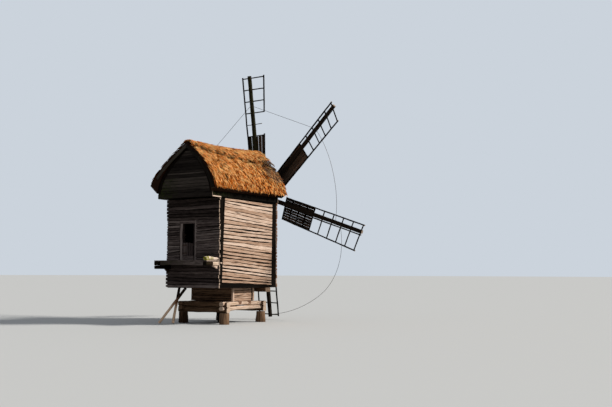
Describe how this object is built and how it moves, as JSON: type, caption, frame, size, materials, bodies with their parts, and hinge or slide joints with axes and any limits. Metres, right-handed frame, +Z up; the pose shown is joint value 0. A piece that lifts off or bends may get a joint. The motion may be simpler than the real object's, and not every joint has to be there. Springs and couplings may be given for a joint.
{
  "type": "traditional windmill",
  "caption": "Wooden post mill with a thatched jettied roof, boarded walls, a rear door gallery, lattice sails on a windshaft, and a log crib base that it turns on",
  "frame": {"origin": "on the ground at the foot of the turning post's axis", "axes": "+Z up; -Y is the tail side with the door and gallery; +Y is the windshaft side with the sails; +X completes the right-handed frame"},
  "size_m": [12.9539, 7.5601, 13.4833],
  "materials": {
    "weathered_boards": "grey, sun-bleached rough boards",
    "old_timber": "dark weathered timber",
    "thatch": "matt straw thatch",
    "steel_wire": "dull galvanised wire"
  },
  "bodies": {
    "base": {"stumps": "old_timber", "crib_side_logs": "old_timber", "crib_end_logs": "old_timber", "post_ties": "old_timber", "centre_post": "old_timber"},
    "mill": {"bearing_box": "weathered_boards", "box_posts": "old_timber", "bargeboards": "old_timber", "crown_beam": "old_timber", "front_bearer": "old_timber", "floor_bearers": "old_timber", "sills": "old_timber", "corner_posts": "old_timber", "studs": "old_timber", "wall_left": "weathered_boards", "wall_right": "weathered_boards", "wall_front": "weathered_boards", "wall_rear_left": "weathered_boards", "wall_rear_right": "weathered_boards", "wall_rear_top": "weathered_boards", "wall_rear_low": "weathered_boards", "door_jambs": "old_timber", "door_lintel": "old_timber", "door_threshold": "old_timber", "gallery_beams": "old_timber", "gallery_deck": "weathered_boards", "floor": "weathered_boards", "gallery_front_board": "weathered_boards", "gallery_side_log": "weathered_boards", "gallery_brackets": "old_timber", "wall_plates": "old_timber", "cross_beams": "old_timber", "gable_rear": "weathered_boards", "gable_front": "weathered_boards", "thatch_left": "thatch", "thatch_right": "thatch", "ridge_cap": "thatch", "rafters": "old_timber", "tail_poles": "weathered_boards"},
    "rotor": {"windshaft": "old_timber", "stock_a": "old_timber", "stock_b": "old_timber", "stock_c": "old_timber", "sail_1": "old_timber", "sail_2": "old_timber", "sail_3": "old_timber", "sail_4": "old_timber", "sail_5": "old_timber", "sail_6": "old_timber", "ring_cable": "steel_wire"},
    "door": {"door_leaf": "weathered_boards"}
  },
  "joints": [
    {"name": "mill_turn", "type": "hinge", "parent": "base", "child": "mill", "pos_m": [0, 0, 1.6], "axis": [0, 0, 1], "continuous": true},
    {"name": "sails_turn", "type": "hinge", "parent": "mill", "child": "rotor", "pos_m": [0, 3.15, 6.81], "axis": [0, 0.9954, 0.0958], "continuous": true},
    {"name": "door_swing", "type": "hinge", "parent": "mill", "child": "door", "pos_m": [-0.68, -2.3973, 3.76], "axis": [0, 0, -1], "range_deg": [0, 110]}
  ]
}
